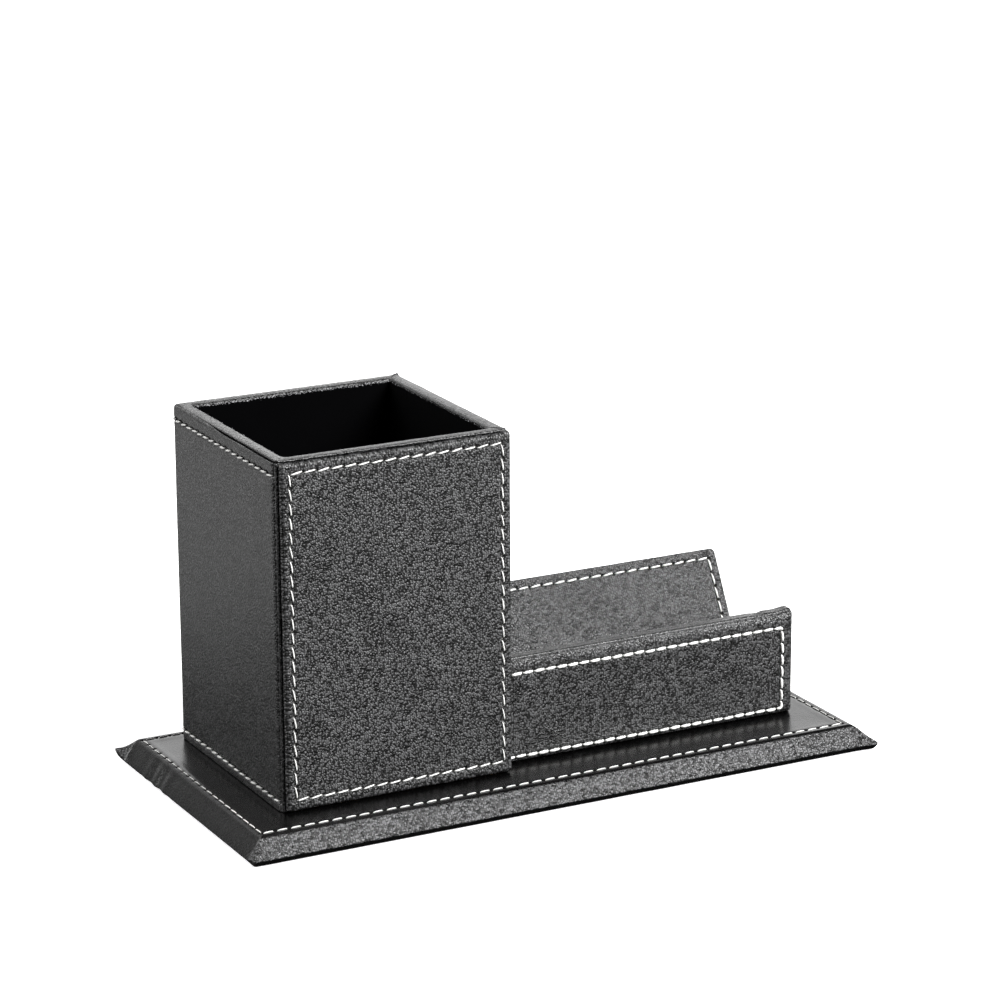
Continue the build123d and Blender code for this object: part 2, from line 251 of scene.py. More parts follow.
def mesh_lines(low, high, seams=(), holes=(), step=1.4):
    """Places of mesh lines from low to high, nearer together beside each seam and each needle hole."""
    seam_reach, hole_reach, fine_step = 1.3, 0.7, 0.22
    end_gap, least_gap = 0.02, 0.04
    spots = [(seam, seam_reach) for seam in seams] + [(hole, hole_reach) for hole in holes]
    marks = [mark for spot, reach in spots for mark in (spot - reach, spot, spot + reach)]
    marks = sorted({low, high, *(mark for mark in marks if low + end_gap < mark < high - end_gap)})
    parts = []
    for start, end in zip(marks, marks[1:]):
        close = any(abs((start + end) / 2 - spot) < reach for spot, reach in spots)
        count = max(1, math.ceil((end - start) / (fine_step if close else step)))
        parts.append(np.linspace(start, end, count, endpoint=False))
    lines = np.append(np.concatenate(parts), high)
    return lines[np.append(np.diff(lines) > least_gap, True)]


def edge_section(moves, step=0.3, stretch=1.0):
    """Section of leather over an edge: rows of reach, drop and length, one move (length, turn) at a time.

    stretch is how many times its flat length the leather gets where it bends.
    """
    turn_step = 12
    rows = [(0.0, 0.0, 0.0)]
    lean = 0.0
    for length, turn in moves:
        count = max(1, math.ceil(length / step), math.ceil(abs(turn) / turn_step))
        part, bend = length / count, math.radians(turn) / count
        for _ in range(count):
            reach, drop, run = rows[-1]
            middle = lean + bend / 2
            flat = part / stretch if turn else part
            rows.append((reach + part * math.cos(middle), drop + part * math.sin(middle), run + flat))
            lean += bend
    return np.array(rows)


def corner_curve(reach, radius, steps):
    """Points round a corner from (reach, 0) to (0, reach), nearest together at its middle."""
    crowding = 1.7
    straight = reach - radius
    arc = radius * math.pi / 2
    ease = np.linspace(-1, 1, steps + 1)
    along = (1 + np.sign(ease) * np.abs(ease) ** crowding) * (straight + arc / 2)
    angle = np.clip((along - straight) / max(radius, 1e-9), 0, math.pi / 2)
    x = straight + radius * np.cos(angle) - np.clip(along - straight - arc, 0, None)
    y = np.clip(along, 0, straight) + radius * np.sin(angle)
    return np.stack([x, y], -1)


def rolled_sheet(area, section, corner, route, stitches, corner_steps=22):
    """Patches (points, flat places) of a sheet that lies on a rectangle and goes over its four edges.

    area is the outline that the sheet reaches, section is its edge_section, corner is the
    outline's radius, and route and stitches are its seam. Points are (across, up, out) from the
    face that the sheet lies on.
    """
    seam_band, least_radius = 0.5, 0.3
    margin = section[:, 0].max()
    x0, y0, x1, y1 = area[0] + margin, area[1] + margin, area[2] - margin, area[3] - margin
    low, high = np.min(route, 0), np.max(route, 0)
    holes = stitches[:, 0]
    crosswise = np.minimum(abs(holes[:, 1] - low[1]), abs(holes[:, 1] - high[1])) < seam_band
    x_lines = mesh_lines(x0, x1, (low[0], high[0]), holes[crosswise, 0])
    y_lines = mesh_lines(y0, y1, (low[1], high[1]), holes[~crosswise, 1])
    across, up = np.meshgrid(x_lines, y_lines, indexing="ij")
    flat = np.stack([across, up], -1)
    patches = [(np.dstack([flat, np.zeros_like(across)]), flat)]
    reach, drop, run = section.T
    sides = [(x1, y_lines, (1, 0)), (x_lines, y1, (0, 1)), (x0, y_lines, (-1, 0)), (x_lines, y0, (0, -1))]
    for x, y, way in sides:
        start = np.stack(np.broadcast_arrays(x, y), -1)
        outward = np.array(way, float)
        place = start[:, None] + reach[None, :, None] * outward
        depth = np.broadcast_to(-drop[None, :, None], (*place.shape[:2], 1))
        flat = start[:, None] + run[None, :, None] * outward
        patches.append((np.concatenate([place, depth], -1), flat))
    quarter_turn = np.array([[0, 1], [-1, 0]])
    for quarter, pole in enumerate([(x1, y1), (x0, y1), (x0, y0), (x1, y0)]):
        spin = np.linalg.matrix_power(quarter_turn, quarter)
        place, flat = [], []
        for far, deep, length in zip(reach, drop, run):
            radius = min(far, max(corner - (margin - far), least_radius))
            curve = corner_curve(far, radius, corner_steps) @ spin
            place.append(np.column_stack([curve + pole, np.full(len(curve), -deep)]))
            flat.append(curve * (length / far if far else 0) + pole)
        patches.append((np.array(place), np.array(flat)))
    return patches


def lay(patches, origin, across, up, out):
    """Patches moved from (across, up, out) to where their face lies in the frame."""
    axes = np.array([across, up, out], float)
    return [(points @ axes + np.array(origin, float), flat) for points, flat in patches]


def smooth_piece(name, points, faces, corner_flats):
    """An object with closed, smooth skin. corner_flats are the flat places of its faces' corners."""
    mesh = bpy.data.meshes.new(name)
    mesh.from_pydata(points / 1000, [], faces)
    layer = mesh.uv_layers.new(name="flat")
    layer.uv.foreach_set("vector", np.array(corner_flats, np.float32).ravel())
    shaper = bmesh.new()
    shaper.from_mesh(mesh)
    bmesh.ops.holes_fill(shaper, edges=[edge for edge in shaper.edges if edge.is_boundary], sides=0)
    bmesh.ops.recalc_face_normals(shaper, faces=shaper.faces)
    shaper.to_mesh(mesh)
    shaper.free()
    mesh.shade_smooth()
    piece = bpy.data.objects.new(name, mesh)
    bpy.context.scene.collection.objects.link(piece)
    return piece


def make_piece(name, patches, relief=None, shift=None):
    """A piece made of patches, joined where they meet and closed behind.

    relief(flat, points) is how far each point stands out from the even sheet, and
    shift(points) moves points freely.
    """
    points = np.concatenate([p.reshape(-1, 3) for p, _ in patches])
    flats = np.concatenate([f.reshape(-1, 2) for _, f in patches])
    quads, start = [], 0
    for grid, _ in patches:
        rows, columns = grid.shape[:2]
        index = start + np.arange(rows * columns).reshape(rows, columns)
        corners = [index[:-1, :-1], index[1:, :-1], index[1:, 1:], index[:-1, 1:]]
        quads.append(np.stack(corners, -1).reshape(-1, 4))
        start += rows * columns
    quads = np.concatenate(quads)
    _, first, joined = np.unique(np.round(points, 3), axis=0, return_index=True, return_inverse=True)
    faces, corner_flats = [], []
    for quad, merged in zip(quads, joined.ravel()[quads]):
        keep = [i for i in range(4) if merged[i] != merged[i - 1]]
        if len(keep) > 2:
            faces.append([int(merged[i]) for i in keep])
            corner_flats.extend(flats[quad[i]] for i in keep)
    placed = points[first].copy()
    piece = smooth_piece(name, placed, faces, corner_flats)
    if relief is not None:
        outward = np.empty(len(placed) * 3, np.float32)
        piece.data.vertex_normals.foreach_get("vector", outward)
        placed += outward.reshape(-1, 3) * relief(flats[first], placed)[:, None]
    if shift is not None:
        placed += shift(placed)
    piece.data.vertices.foreach_set("co", (placed / 1000).astype(np.float32).ravel())
    piece.data.update()
    return piece


def waves(flats, height, length, seed):
    """Gentle waves over the leather, of about one length."""
    count = 7
    chance = np.random.default_rng(seed)
    total = np.zeros(len(flats))
    for _ in range(count):
        way, phase = chance.uniform(0, 2 * math.pi, 2)
        along = flats @ np.array([math.cos(way), math.sin(way)])
        total += np.sin(along * 2 * math.pi / (length * chance.uniform(0.6, 1.5)) + phase)
    return height * total / count


def bell(distance, width):
    """1 at no distance, falling smoothly to 0 beyond the width."""
    return np.exp(-(distance / width) ** 2)


def gap_to_route(flats, route):
    """Distance of each flat place from a route of straight runs."""
    best = np.full(len(flats), np.inf)
    for start, end in zip(route, route[1:]):
        run = np.array(end) - start
        share = np.clip((flats - start) @ run / (run @ run), 0, 1)
        best = np.minimum(best, np.linalg.norm(flats - start - share[:, None] * run, axis=1))
    return best


def gap_to_spots(flats, spots):
    """Distance of each flat place from the nearest spot."""
    best = np.full(len(flats), np.inf)
    for spot in spots:
        best = np.minimum(best, np.hypot(*(flats - spot).T))
    return best


def divide(route, pitch, through=False):
    """Stitches along a route, as rows of flat points: run by run, or right through its bends."""
    points_each = 13
    stitches = []
    for run in [route] if through else zip(route, route[1:]):
        run = np.array(run, float)
        far = lengths_along(run)
        count = max(1, round(far[-1] / pitch))
        for i in range(count):
            at = np.linspace(i, i + 1, points_each) / count * far[-1]
            stitches.append(np.stack([np.interp(at, far, run[:, 0]), np.interp(at, far, run[:, 1])], -1))
    return np.array(stitches)


def drawn_in(flats, route, stitches, groove=0.10, pit=0.70, hole=0.42):
    """Relief round a seam: a groove under the thread, a pit at each needle hole and a swell beside it."""
    swell, swell_gap, swell_width = 0.07, 1.5, 0.8
    groove_width, pit_reach = 0.55, 2.5
    near = gap_to_route(flats, route)
    close = near < pit_reach
    relief = swell * bell(near - swell_gap, swell_width) - groove * bell(near, groove_width)
    holes = np.concatenate([stitches[:, 0], stitches[-1:, -1]])
    relief[close] -= pit * bell(gap_to_spots(flats[close], holes), hole)
    return relief


def inner_route(area, insets):
    """The closed route inside an area, with its own inset at the left, foot, right and top."""
    left, foot, right, top = insets
    x0, y0, x1, y1 = area[0] + left, area[1] + foot, area[2] - right, area[3] - top
    return [(x0, y0), (x1, y0), (x1, y1), (x0, y1), (x0, y0)]


valley_tone = (0.0005, 0.0005, 0.0005, 1)
crest_tone = (0.086, 0.086, 0.088, 1)
pebble_size = 0.66
grain_depth = 0.00026


def pebble_group():
    """Fine pebble grain of coated leather, laid out on the flat sheet, in millimetres.

    Cell is the size of a pebble, Depth how strongly they are pressed, Seed where on the hide the
    sheet lay and Pale how much paler the pebble crests are painted. That paleness is partly wear and
    partly painted glints: it grows with Depth and differs at random from pebble to pebble.
    """
    group = bpy.data.node_groups.new("pebble grain", "ShaderNodeTree")
    for name in ("Cell", "Depth", "Seed", "Pale"):
        group.interface.new_socket(name, in_out="INPUT", socket_type="NodeSocketFloat")
    for name, kind in (("Color", "Color"), ("Roughness", "Float"), ("Height", "Float")):
        group.interface.new_socket(name, in_out="OUTPUT", socket_type="NodeSocket" + kind)
    values = group.nodes.new("NodeGroupInput").outputs
    results = group.nodes.new("NodeGroupOutput").inputs

    def move(operation, *vectors):
        """What a sum of vectors gives."""
        return add(group, "VectorMath", enumerate(vectors), operation=operation).outputs["Vector"]

    def scaled(vector, scale):
        """A vector times a number."""
        return add(group, "VectorMath", {0: vector, "Scale": scale}, operation="SCALE").outputs["Vector"]

    offset = add(group, "CombineXYZ", {"X": values["Seed"], "Y": values["Seed"]}).outputs["Vector"]
    flat = move("ADD", add(group, "UVMap", uv_map="flat").outputs["UV"], offset)
    drift = add(group, "TexNoise", {"Vector": flat, "Scale": 1.1, "Detail": 2.0}).outputs["Color"]
    warped = move("ADD", flat, scaled(move("SUBTRACT", drift, (0.5, 0.5, 0.5)), 0.5))
    scale = calc(group, "DIVIDE", 1.0, values["Cell"])
    cells = add(group, "TexVoronoi", {"Vector": warped, "Scale": scale}, voronoi_dimensions="2D").outputs
    pebble = ramp(group, calc(group, "POWER", cells["Distance"], 2.0), 0.0, 0.42, to_low=1.0, to_high=0.0)
    tooth = noise(group, flat, 5.5, 4.0, Roughness=0.6)
    grain = mix(group, 0.15, pebble, tooth, "FLOAT")
    swell = mix(group, 0.15, grain, noise(group, flat, 0.9, 3.0), "FLOAT")
    height = calc(group, "MULTIPLY", swell, values["Depth"])
    # Painted glints, partly also wear: the crests are painted paler where the grain is deeper, by a random
    # amount for each pebble.
    crests = ramp(group, grain, 0.30, 0.75, smooth=True)
    raised = ramp(group, values["Depth"], 0.12, 1.0)
    chance = add(group, "SeparateColor", {"Color": cells["Color"]}).outputs["Red"]
    varied = ramp(group, chance, 0.22, 1.0, to_high=2.35)
    pale = calc(group, "MULTIPLY", calc(group, "MULTIPLY", crests, raised), varied)
    patchy = ramp(group, noise(group, flat, 0.05, 3.0), 0.3, 0.7, to_low=0.85, to_high=1.15)
    tint = calc(group, "MULTIPLY", patchy, values["Pale"])
    tone = scaled(mix(group, pale, valley_tone, crest_tone), tint)
    dull = ramp(group, values["Depth"], 0.05, 1.0, to_low=0.27, to_high=0.48)
    rough = ramp(group, crests, 0.0, 1.0, to_low=dull, to_high=0.22)
    for name, result in (("Color", tone), ("Roughness", rough), ("Height", height)):
        group.links.new(result, results[name])
    return group


pebble_grain = pebble_group()


def leather(name, seed, depth=1.0, pale=1.0, smooth_area=None, hem_area=None):
    """Black coated leather with the pebble grain, semi-matte.

    smooth_area is half the width and half the length of a middle part that was pressed smooth; the
    grain on its left is fainter, and where the grain is fainter its crests are painted less pale, which
    darkens the painted glints there. hem_area is the same for the turned-in hem, where the grain ends.
    pale scales how much paler the crests are painted, partly wear and partly painted glints.
    """
    pressed, faint, press_edge, hem_edge = 0.05, 0.14, 1.2, 0.3
    material, tree, shader = surface(name, Specular_IOR_Level=0.5)
    inputs = {"Cell": pebble_size, "Depth": depth, "Seed": seed, "Pale": pale}
    pebbles = add(tree, "Group", inputs, node_tree=pebble_grain)
    if smooth_area is not None:
        flat = add(tree, "SeparateXYZ", {"Vector": add(tree, "UVMap", uv_map="flat").outputs["UV"]}).outputs
        across, along = (calc(tree, "ABSOLUTE", flat[axis]) for axis in "XY")
        width, length = smooth_area
        grained = pressed
        for far, side, full in ((flat["X"], width, depth), (across, width, faint), (along, length, depth)):
            edge = ramp(tree, far, side, side + press_edge, to_low=pressed, to_high=full)
            grained = calc(tree, "MAXIMUM", grained, edge)
        above = 1.0
        for far, side in zip((across, along), hem_area):
            edge = ramp(tree, far, side, side + hem_edge, to_low=1.0, to_high=0.0)
            above = calc(tree, "MINIMUM", above, edge)
        tree.links.new(calc(tree, "MULTIPLY", grained, above), pebbles.inputs["Depth"])
    coat(tree, shader, pebbles.outputs["Color"], pebbles.outputs["Height"], grain_depth, 1.0)
    tree.links.new(pebbles.outputs["Roughness"], shader.inputs["Roughness"])
    return material


def finish(piece, material, slot, *nodes):
    """Gives a piece its material and ties it to the frame."""
    piece.data.materials.append(material)
    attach(piece, "root")
    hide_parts(*nodes)


plate_low, plate_high = span("base_leather")
deck = plate_high[2]
plate_proud = (0.4, 0.8, 0.4, 0.4)
plate_area = tuple(
    edge + way * proud
    for edge, way, proud in zip((*plate_low[:2], *plate_high[:2]), (-1, -1, 1, 1), plate_proud)
)
deck_border = 1.5
nose_radius, nose_lean = 2.0, 48.0
cheek_turn = 8.0
knee_radius = 0.35
foot_lean, foot_rise, foot_radius, foot_sink = 98.0, 1.2, 0.2, 0.2
hem_reach = 2.4
slope, turn, foot = math.radians(nose_lean), math.radians(cheek_turn), math.radians(foot_lean)
cheek_drop = deck - plate_low[2] + foot_sink - nose_radius * (1 - math.cos(slope))
cheek_drop -= knee_radius * (math.cos(slope + turn) - math.cos(foot)) + foot_rise * math.sin(foot)
cheek_drop -= foot_radius * (math.cos(foot) + 1)
plate_section = edge_section([
    (deck_border, 0),
    (nose_radius * slope, nose_lean),
    (cheek_drop * turn / (math.cos(slope) - math.cos(slope + turn)), cheek_turn),
    (knee_radius * (foot - slope - turn), foot_lean - nose_lean - cheek_turn),
    (foot_rise, 0),
    (foot_radius * (math.pi - foot), 180 - foot_lean),
    (hem_reach, 0),
])
stitch_pitch = 4.2
plate_route = inner_route((*plate_low[:2], *plate_high[:2]), (4.7, 5.7, 6.2, 5.9))
plate_stitches = divide(plate_route, stitch_pitch)

left_drop, left_knee, left_foot = 0.95, 1.66, 0.5
ear_width, ear_height = 1.9, 2.0
ears = {
    (1, -1): (1.9, 1.9, 0.2),
    (-1, 1): (1.0, 2.4, 1.2),
    (1, 1): (1.2, 1.0, 0.4),
    (-1, -1): (0.2, -0.3, 0.0),
}


def plate_relief(flats, points):
    """Slow waves, the seam and a mitre fold at each corner, which overlaps at the front left."""
    mitre_reach, mitre_ease, mitre_foot, mitre_fade = 3.78, 1.2, 0.4, 0.8
    overlap_across, overlap_rise = (-3.0, -0.35, 0.0, 1.4), (0.0, -0.40, 0.38, 0.0)
    swell_side, swell_height, swell_width = -0.35, 0.22, 0.45
    groove_side, groove_depth, groove_width = 0.30, 0.60, 0.30
    ripple_place, ripple_width, ripple_height, ripple_rate = 22, 9, 0.16, 0.9
    left_reach, left_ease = 4, 3
    relief = waves(flats, height=0.05, length=17, seed=3)
    relief += drawn_in(flats, plate_route, plate_stitches, groove=0.05, pit=0.30)
    past = np.abs(flats) - plate_high[:2]
    fold = (past[:, 0] - past[:, 1]) / math.sqrt(2) * np.sign(flats[:, 0])
    mitre = np.clip((past.min(axis=1) + mitre_reach) / mitre_ease, 0, 1)
    mitre *= np.clip((points[:, 2] - mitre_foot) / mitre_fade, 0, 1)
    overlap = np.interp(fold, overlap_across, overlap_rise)
    groove = swell_height * bell(fold - swell_side, swell_width)
    groove -= groove_depth * bell(fold - groove_side, groove_width)
    relief += mitre * np.where((flats < 0).all(axis=1), overlap, groove)
    left_side = np.clip((left_reach - flats[:, 0] - plate_high[0]) / left_ease, 0, 1)
    ripple = ripple_height * np.sin(flats[:, 1] * ripple_rate)
    relief += left_side * ripple * bell(flats[:, 1] - ripple_place, ripple_width)
    return relief


def plate_ears(points):
    """The left bevel runs down lower than the others, and the corners stand out in small pointed ears."""
    end_gap, end_ease = 1.5, 3
    moved = np.zeros_like(points)
    for (side, end), (across, along, rise) in ears.items():
        tip = np.array([plate_high[0] * side, plate_high[1] * end, ear_height])
        near = np.exp(-np.linalg.norm(points - tip, axis=1) / ear_width)
        moved += near[:, None] * np.array([side * across, end * along, rise])
    from_ends = plate_high[1] - np.abs(points[:, 1])
    left = (points[:, 0] < 0) * np.clip((from_ends - end_gap) / end_ease, 0, 1)
    moved[:, 2] -= left * np.interp(points[:, 2], (left_foot, left_knee, deck), (0.0, left_drop, 0.0))
    return moved


plate_sheet = rolled_sheet(plate_area, plate_section, 0.8, plate_route, plate_stitches, corner_steps=40)
plate = make_piece("plate_leather", lay(plate_sheet, *level_face(deck)), plate_relief, plate_ears)
plate_flat = np.array([plate_area[2], -plate_area[1]]) - plate_section[:, 0].max()
plate_knee = plate_section[plate_section[:, 0].argmax(), 2]
# The plate's crests are painted paler still, a painted highlight for the soft box's light on its front
# bevel; its pressed deck and fainter left bevel get less of it and come out darker.
plate_leather = leather(
    "leather_plate", 11.0, depth=1.05, pale=1.6,
    smooth_area=plate_flat + deck_border + 0.6 * nose_radius * slope,
    hem_area=plate_flat + plate_knee,
)
finish(plate, plate_leather, "black_leather", "base_leather")

# Plate seam: white twisted thread in a lockstitch. Each stitch comes up through a needle hole, lies
# over the leather and goes down the next hole.
def thread_material():
    """White twisted thread, with darker lines between its plies."""
    material, tree, shader = surface("thread", Roughness=0.55, Specular_IOR_Level=0.4, Sheen_Weight=0.4)
    flat = add(tree, "UVMap", uv_map="flat").outputs["UV"]
    wave = {"Vector": flat, "Scale": 1.6, "Distortion": 2.0}
    fibres = add(tree, "TexWave", wave, bands_direction="DIAGONAL").outputs["Fac"]
    tone = mix(tree, fibres, (0.80, 0.79, 0.76, 1), (0.98, 0.98, 0.96, 1))
    fuzz = noise(tree, flat, 9.0, 3.0)
    coat(tree, shader, tone, calc(tree, "ADD", fuzz, fibres), 0.00003, 0.5)
    return material


def sew(name, node, stitches, place, thickness, slant, seed, show=0.80):
    """Thread through all the stitches of a seam. place(flat, height) gives the points in the frame.

    slant is how far a stitch's ends lie to its two sides, and show is the share of each stitch that
    lies on top, between its two holes.
    """
    sides, plies, twist = 12, 3, 1.3
    sunk, thin_end, ply_depth = 0.30, 0.42, 0.10
    chance = np.random.default_rng(seed)
    count, steps = stitches.shape[:2]
    t = np.linspace(0, 1, steps)
    reach = stitches[:, -1] - stitches[:, 0]
    length = np.linalg.norm(reach, axis=1)
    ahead = reach / length[:, None]
    aside = np.stack([-ahead[:, 1], ahead[:, 0]], -1)
    lean = slant * chance.uniform(0.6, 1.4, count)
    drift = chance.normal(0, 0.035, count)
    offset = lean[:, None] * (t - 0.5) * 2 + drift[:, None]
    inner = 0.5 + (t - 0.5) * show
    route = np.array([[np.interp(inner, t, way) for way in stitch.T] for stitch in stitches])
    route = route.transpose(0, 2, 1) + aside[:, None] * offset[:, :, None]
    crest = thickness * chance.uniform(0.18, 0.32, count)
    rise = 1 - np.abs(2 * t - 1) ** 11
    height = (crest[:, None] + sunk) * rise - sunk
    line = place(route.reshape(-1, 2), height.ravel()).reshape(count, steps, 3)
    above = place(route.reshape(-1, 2), height.ravel() + 1).reshape(count, steps, 3) - line
    run = np.gradient(line, axis=1)
    run /= np.linalg.norm(run, axis=2, keepdims=True)
    side = np.cross(run, above)
    side /= np.linalg.norm(side, axis=2, keepdims=True)
    above = np.cross(side, run)
    angle = np.linspace(0, 2 * math.pi, sides, endpoint=False)
    along = t[None, :] * length[:, None]
    phase = angle[None, None, :] * plies - along[:, :, None] * 2 * math.pi / twist
    taper = thin_end + (1 - thin_end) * np.sin(np.pi * t) ** 0.6
    radius = thickness / 2 * taper[None, :, None] * (0.93 + ply_depth * np.cos(phase))
    radius = radius * chance.uniform(0.92, 1.08, count)[:, None, None]
    ring = line[:, :, None] + radius[..., None] * (
        np.cos(angle)[:, None] * side[:, :, None] + np.sin(angle)[:, None] * above[:, :, None]
    )
    index = np.arange(count * steps * sides).reshape(count, steps, sides)
    beside = np.roll(index, -1, axis=2)
    quads = np.stack([index[:, :-1], index[:, 1:], beside[:, 1:], beside[:, :-1]], -1).reshape(-1, 4)
    caps = np.concatenate([index[:, 0], index[:, -1, ::-1]])
    turns = np.broadcast_to(angle / (2 * math.pi) * thickness * 3, index.shape)
    lengths = np.broadcast_to(along[:, :, None] + 5.0 * np.arange(count)[:, None, None], index.shape)
    flats = np.stack([lengths, turns], -1).reshape(-1, 2)
    corners = np.append(quads, caps)
    piece = smooth_piece(name, ring.reshape(-1, 3), quads.tolist() + caps.tolist(), flats[corners])
    finish(piece, thread, "white_thread", node)


def on_plane(origin, across, up, out):
    """A place function for a flat face."""
    origin, across, up, out = (np.array(v, float) for v in (origin, across, up, out))
    return lambda flat, height: origin + flat[:, :1] * across + flat[:, 1:] * up + height[:, None] * out


thread = thread_material()
on_deck = on_plane(*level_face(deck))
sew("plate_stitches", "base_thread", plate_stitches, on_deck, thickness=0.38, slant=0.12, seed=21, show=0.76)

# Cup rim: thin leather glued round the four walls, drawn over their top edge and turned in behind
# the lining, with a cut and folded mitre at each corner.
rim_low, rim_high = span("cup_rim_leather")
board_low, board_high = span("cup_left_board")
rim_top = rim_high[2] + 0.15
skin = board_low[0] - rim_low[0]
rim_turn_in = 12.0
rim_inner = (board_high[0] + skin, rim_low[1] + board_high[0] + skin - rim_low[0])
rim_inner += (rim_low[0] + rim_high[0] - rim_inner[0], rim_high[1] + rim_low[1] - rim_inner[1])
rim_outer = (rim_low[0] - 0.15, rim_low[1], rim_high[0] + 0.55, rim_high[1] + 0.55)
inner_bends = (2.6, 1.2, 1.0, 1.0)
outer_bends = (0.5, 0.7, 0.5, 1.3)
inner_turn, outer_turn = 0.8, 0.4
crown = 0.10


def ring_row(share):
    """Plan of the rim's ring at a share of the way from its inner to its outer side."""
    bend_points, side_points = 11, 101
    x0, y0, x1, y1 = (a + (b - a) * share for a, b in zip(rim_inner, rim_outer))
    arcs = []
    corners = [(x0, y0, 180), (x1, y0, 270), (x1, y1, 0), (x0, y1, 90)]
    for (px, py, start), inner_bend, outer_bend in zip(corners, inner_bends, outer_bends):
        bend = inner_bend + (outer_bend - inner_bend) * share
        middle = math.radians(start + 45)
        cx = px - math.copysign(bend, math.cos(middle))
        cy = py - math.copysign(bend, math.sin(middle))
        turns = np.radians(np.linspace(start, start + 90, bend_points))
        arcs.append(np.stack([cx + bend * np.cos(turns), cy + bend * np.sin(turns)], -1))
    ring = []
    for arc, after in zip(arcs, arcs[1:] + arcs[:1]):
        ring.append(arc)
        ring.append(arc[-1] + (after[0] - arc[-1]) * np.linspace(0, 1, side_points)[1:-1, None])
    return np.concatenate(ring + [arcs[0][:1]])


# Each row of the ring is a share of the way out, a height, and a place on the flat sheet.
bends = np.radians(np.linspace(0, 90, 7))
rim_breadth = rim_inner[0] - rim_outer[0]
inner_share = inner_turn / rim_breadth
outer_share = 1 - outer_turn / rim_breadth
rim_rows = [(0.0, rim_top - rim_turn_in, 0.0), (0.0, rim_top - 4.0, 8.0)]
for turn in bends:
    height = rim_top - inner_turn * (1 - math.sin(turn))
    rim_rows.append((inner_share * (1 - math.cos(turn)), height, 11.3 + inner_turn * turn))
for share in np.linspace(0, 1, 9)[1:-1]:
    across = inner_share + (outer_share - inner_share) * share
    height = rim_top + crown * math.sin(math.pi * share)
    rim_rows.append((across, height, 12.4 + share * (rim_breadth - 1.5)))
for turn in bends:
    height = rim_top - outer_turn * (1 - math.cos(turn))
    rim_rows.append((outer_share + (1 - outer_share) * math.sin(turn), height, 15.0 + outer_turn * turn))
rim_rows += [(0.89, rim_top - 0.75, 16.2), (0.89, rim_top - 3.0, 18.6), (0.9, rim_low[2] + 0.3, 114.0)]
rim_rows += [(0.7, rim_low[2] + 0.3, 115.0), (0.7, rim_top - skin, 214.0), (0.2, rim_top - skin, 217.0)]
rim_rows += [(0.2, rim_top - rim_turn_in, 229.0), rim_rows[0]]
ring_far = lengths_along(ring_row(0.5))
ring_grid, ring_flat = [], []
for share, height, run in rim_rows:
    row = ring_row(share)
    ring_grid.append(np.column_stack([row, np.full(len(row), height)]))
    ring_flat.append(np.column_stack([ring_far, np.full(len(row), run)]))

rim_corners = np.array([(rim_outer[i], rim_outer[j]) for i, j in ((0, 1), (2, 1), (2, 3), (0, 3))])
mitre_depth = (0.10, 0.18, 0.55, 0.05)
peak_rise = (0.50, 0.25, 0.80, 0.10)
peak_width = 1.1


def rim_relief(flats, points):
    """Slow waves, and at each corner a fold across the band with a small tuck beside it."""
    band_place, band_width, face_depth = 1.6, 2.0, 1.5
    fold_side, fold_width = 0.15, 0.26
    tuck_side, tuck_width, tuck_share = -0.5, 0.5, 0.4
    relief = waves(points[:, :2], height=0.05, length=9, seed=5)
    middle = (rim_corners[0] + rim_corners[2]) / 2
    for corner, depth in zip(rim_corners, mitre_depth):
        local = (points[:, :2] - corner) * np.sign(middle - corner)
        fold = (local[:, 0] - local[:, 1]) / math.sqrt(2)
        near = bell(local.min(axis=1) - band_place, band_width)
        relief -= depth * near * bell(fold - fold_side, fold_width)
        relief += depth * tuck_share * near * bell(fold - tuck_side, tuck_width)
    return np.where(points[:, 2] > rim_top - face_depth, relief, 0)


def rim_peaks(points):
    """The folded corners stand up a little."""
    peak_depth = 2
    moved = np.zeros_like(points)
    for corner, rise in zip(rim_corners, peak_rise):
        far = np.hypot(*(points[:, :2] - corner).T)
        upper = np.clip((points[:, 2] - rim_top) / peak_depth + 1, 0, 1)
        moved[:, 2] += rise * bell(far, peak_width) * upper
    return moved


rim = make_piece("rim_leather", [(np.array(ring_grid), np.array(ring_flat))], rim_relief, rim_peaks)
finish(rim, leather("leather_rim", 37.0, depth=0.45), "black_leather", "cup_rim_leather")

# Cup wrap: one strip of leather round the left, back and right sides. Its top edge is folded, its
# ends are drawn in behind the front panel, and two seams run round it.
wrap_low, wrap_high = span("cup_wrap_leather")
wrap_proud = 0.3
wrap_thick = 0.7
wrap_bend = 1.3
front_bend = 2.3
seam_drop = 3.8
seam_rise = 3.0
wrap_pitch = 4.0
rim_show = 0.42
wrap_top = rim_top - rim_show
foot_turn, fold_turn, fold_start = 0.35, 0.28, 1.0
rear_lift, rear_draw, front_sink = 0.52, 0.40, 0.20
rear_start, rear_ease = 32, 16
end_thin, end_reach = 0.12, 3.5


def wrap_plan():
    """Plan of the wrap's outer face, from its end behind the panel's left edge round to the right."""
    x0, x1 = wrap_low[0] - wrap_proud, wrap_high[0] + wrap_proud
    y0, y1 = wrap_low[1], wrap_high[1] + wrap_proud
    drawn_end = [(2.4, 0.10), (1.6, 0.06), (1.1, 0.0), (0.80, -0.12)]
    drawn_end += [(0.60, -0.06), (0.52, 0.12), (0.56, 0.32), (0.64, 0.48)]
    for turn in np.radians(np.linspace(42, 0, 9)):
        drawn_end.append((front_bend * (1 - math.cos(turn)), front_bend * (1 - math.sin(turn))))
    left = [(x0 + x, y0 + y) for x, y in drawn_end]
    corners = []
    for cx, start in ((x0 + wrap_bend, 180), (x1 - wrap_bend, 90)):
        for turn in np.radians(np.linspace(start, start - 90, 9)):
            corners.append((cx + wrap_bend * math.cos(turn), y1 - wrap_bend + wrap_bend * math.sin(turn)))
    right = [(x0 + x1 - x, y) for x, y in reversed(left)]
    return np.array(left + corners + right), len(left)


wrap_route, end_points = wrap_plan()
wrap_far = lengths_along(wrap_route)
flat_start = wrap_far[end_points - 1]
wrap_length = wrap_far[-1]


